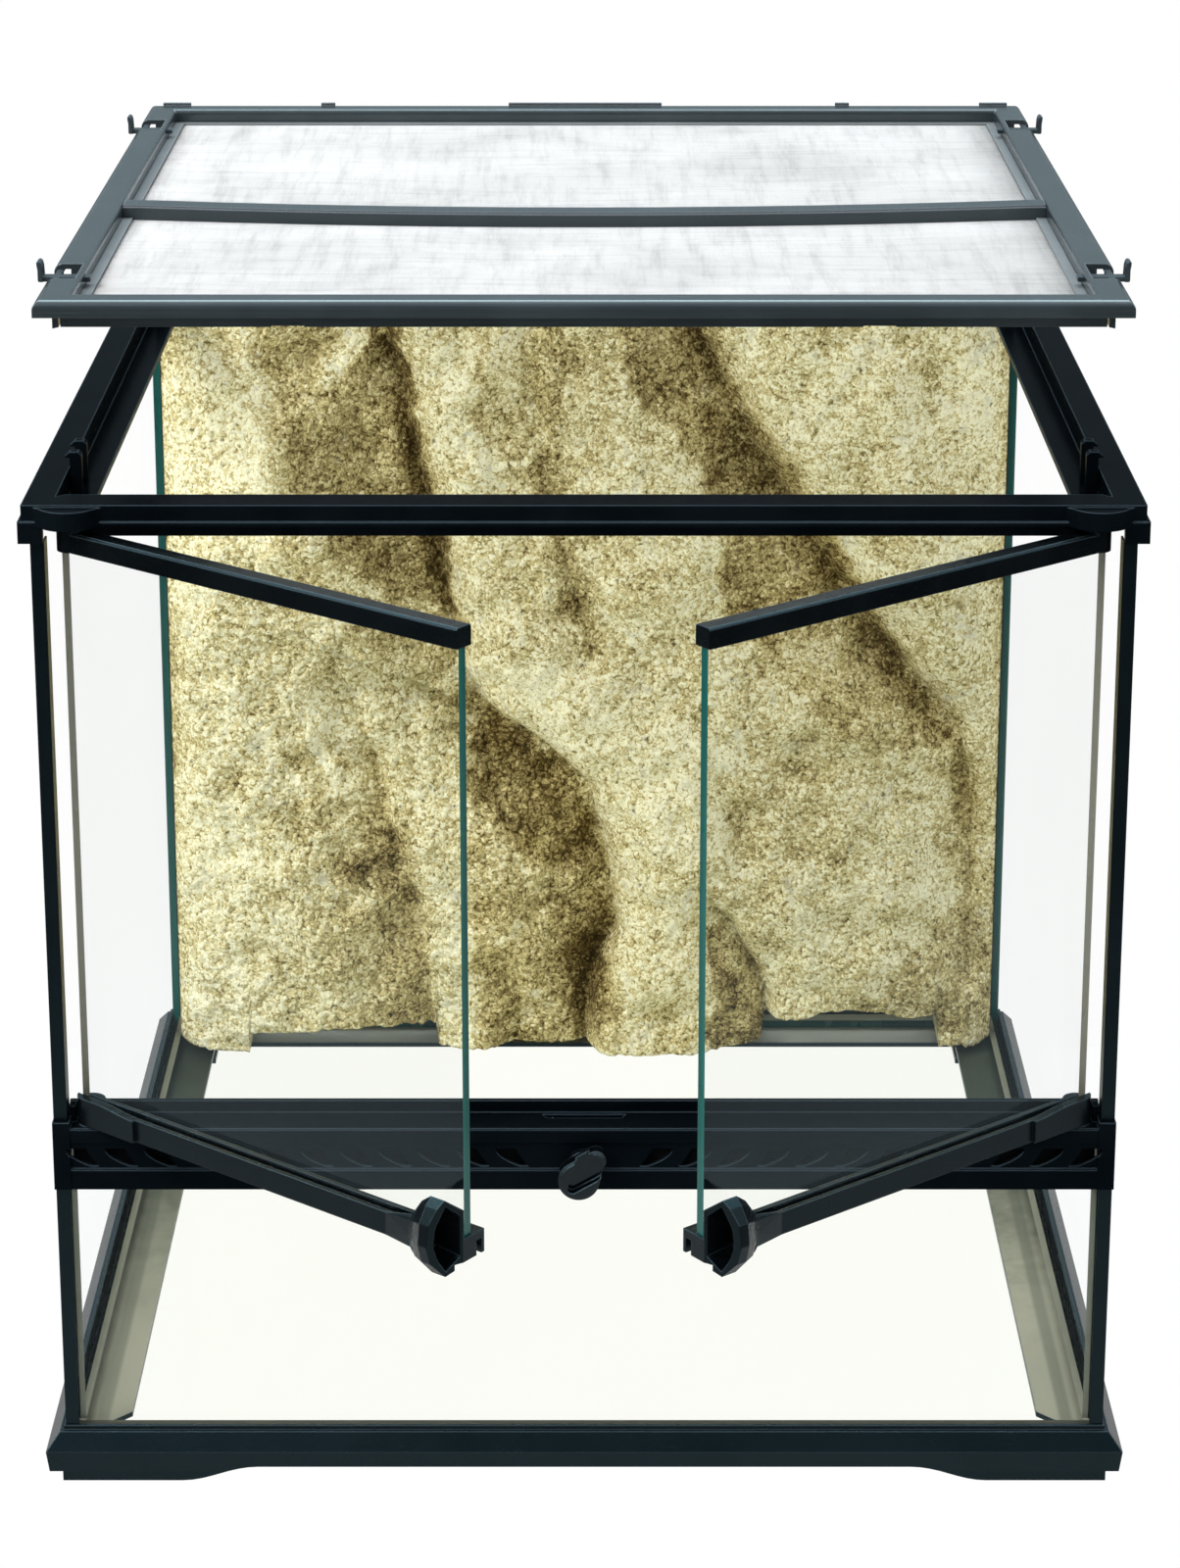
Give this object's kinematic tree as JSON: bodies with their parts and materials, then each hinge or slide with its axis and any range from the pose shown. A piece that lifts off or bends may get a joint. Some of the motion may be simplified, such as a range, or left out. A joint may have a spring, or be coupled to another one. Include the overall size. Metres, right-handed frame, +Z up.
{
  "type": "reptile terrarium",
  "caption": "Glass terrarium with twin outward-swinging front doors over a slotted vent bar, a turning cam lock, a footed plinth, a rock relief back wall and a lift-off screen lid with latches.",
  "frame": {"origin": "centre of the tank's footprint, on the surface that its feet stand on", "axes": "+X to the right seen from the front, +Y from the doors to the rock wall, +Z up"},
  "size_m": [0.468, 0.5961, 0.5289],
  "materials": {
    "frame_plastic": "blue-black moulded plastic with a soft sheen",
    "door_plastic": "near-black moulded plastic with a soft sheen",
    "knob_plastic": "polished black",
    "lid_plastic": "charcoal extruded plastic, satin",
    "clamp_plastic": "mid grey, matt",
    "latch_plastic": "dark grey moulded plastic",
    "clear_glass": "clear float glass",
    "door_glass": "clear float glass with green polished edges",
    "grey_silicone": "cured silicone bead, matt",
    "black_silicone": "cured silicone bead, matt",
    "steel": "plain turned or stamped steel",
    "steel_mesh": "woven stainless mesh",
    "lid_screen": "fine pale woven screen",
    "rock_foam": "sand-coated moulded foam, rough and matt"
  },
  "bodies": {
    "tank": {"base_frame": "frame_plastic", "floor_glass": "clear_glass", "back_glass": "clear_glass", "left_glass": "clear_glass", "right_glass": "clear_glass", "window_glass": "clear_glass", "left_edge_trim": "frame_plastic", "right_edge_trim": "frame_plastic", "floor_seam": "grey_silicone", "corner_seams": "black_silicone", "window_seams": "grey_silicone", "vent_bar": "frame_plastic", "vent_mesh": "steel_mesh", "vent_mesh_clip": "frame_plastic", "top_frame": "frame_plastic", "lid_catches": "frame_plastic", "rock_background": "rock_foam"},
    "left_door": {"left_door_glass": "door_glass", "left_top_rail": "door_plastic", "left_bottom_rail": "door_plastic", "left_top_pin": "steel", "left_bottom_pin": "steel"},
    "right_door": {"right_door_glass": "door_glass", "right_top_rail": "door_plastic", "right_bottom_rail": "door_plastic", "right_top_pin": "steel", "right_bottom_pin": "steel"},
    "lock": {"lock_knob": "knob_plastic", "lock_spindle": "steel", "lock_cam": "steel", "lock_clip": "steel"},
    "lid": {"lid_frame": "lid_plastic", "lid_crossbar": "lid_plastic", "front_mesh": "lid_screen", "rear_mesh": "lid_screen", "front_mesh_clamp": "clamp_plastic", "rear_mesh_clamp": "clamp_plastic"},
    "latch_fl": {"front_left_latch": "latch_plastic"},
    "latch_fr": {"front_right_latch": "latch_plastic"},
    "latch_rl": {"rear_left_latch": "latch_plastic"},
    "latch_rr": {"rear_right_latch": "latch_plastic"}
  },
  "joints": [
    {"name": "left_door_hinge", "type": "hinge", "parent": "tank", "child": "left_door", "pos_m": [-0.21, -0.221, 0.3], "axis": [0, 0, 1], "range_deg": [-69, 38]},
    {"name": "right_door_hinge", "type": "hinge", "parent": "tank", "child": "right_door", "pos_m": [0.21, -0.221, 0.3], "axis": [0, 0, 1], "range_deg": [-38, 69]},
    {"name": "lock_turn", "type": "hinge", "parent": "tank", "child": "lock", "pos_m": [0, -0.225, 0.148], "axis": [0, 1, 0], "range_deg": [-38, 52]},
    {"name": "lid_lift", "type": "slide", "parent": "tank", "child": "lid", "axis": [0, 0, 1], "range_m": [-0.076, 0.03]},
    {"name": "latch_fl_slide", "type": "slide", "parent": "lid", "child": "latch_fl", "axis": [1, 0, 0], "range_m": [0, 0.003]},
    {"name": "latch_fr_slide", "type": "slide", "parent": "lid", "child": "latch_fr", "axis": [-1, 0, 0], "range_m": [0, 0.003]},
    {"name": "latch_rl_slide", "type": "slide", "parent": "lid", "child": "latch_rl", "axis": [1, 0, 0], "range_m": [0, 0.003]},
    {"name": "latch_rr_slide", "type": "slide", "parent": "lid", "child": "latch_rr", "axis": [-1, 0, 0], "range_m": [0, 0.003]}
  ]
}
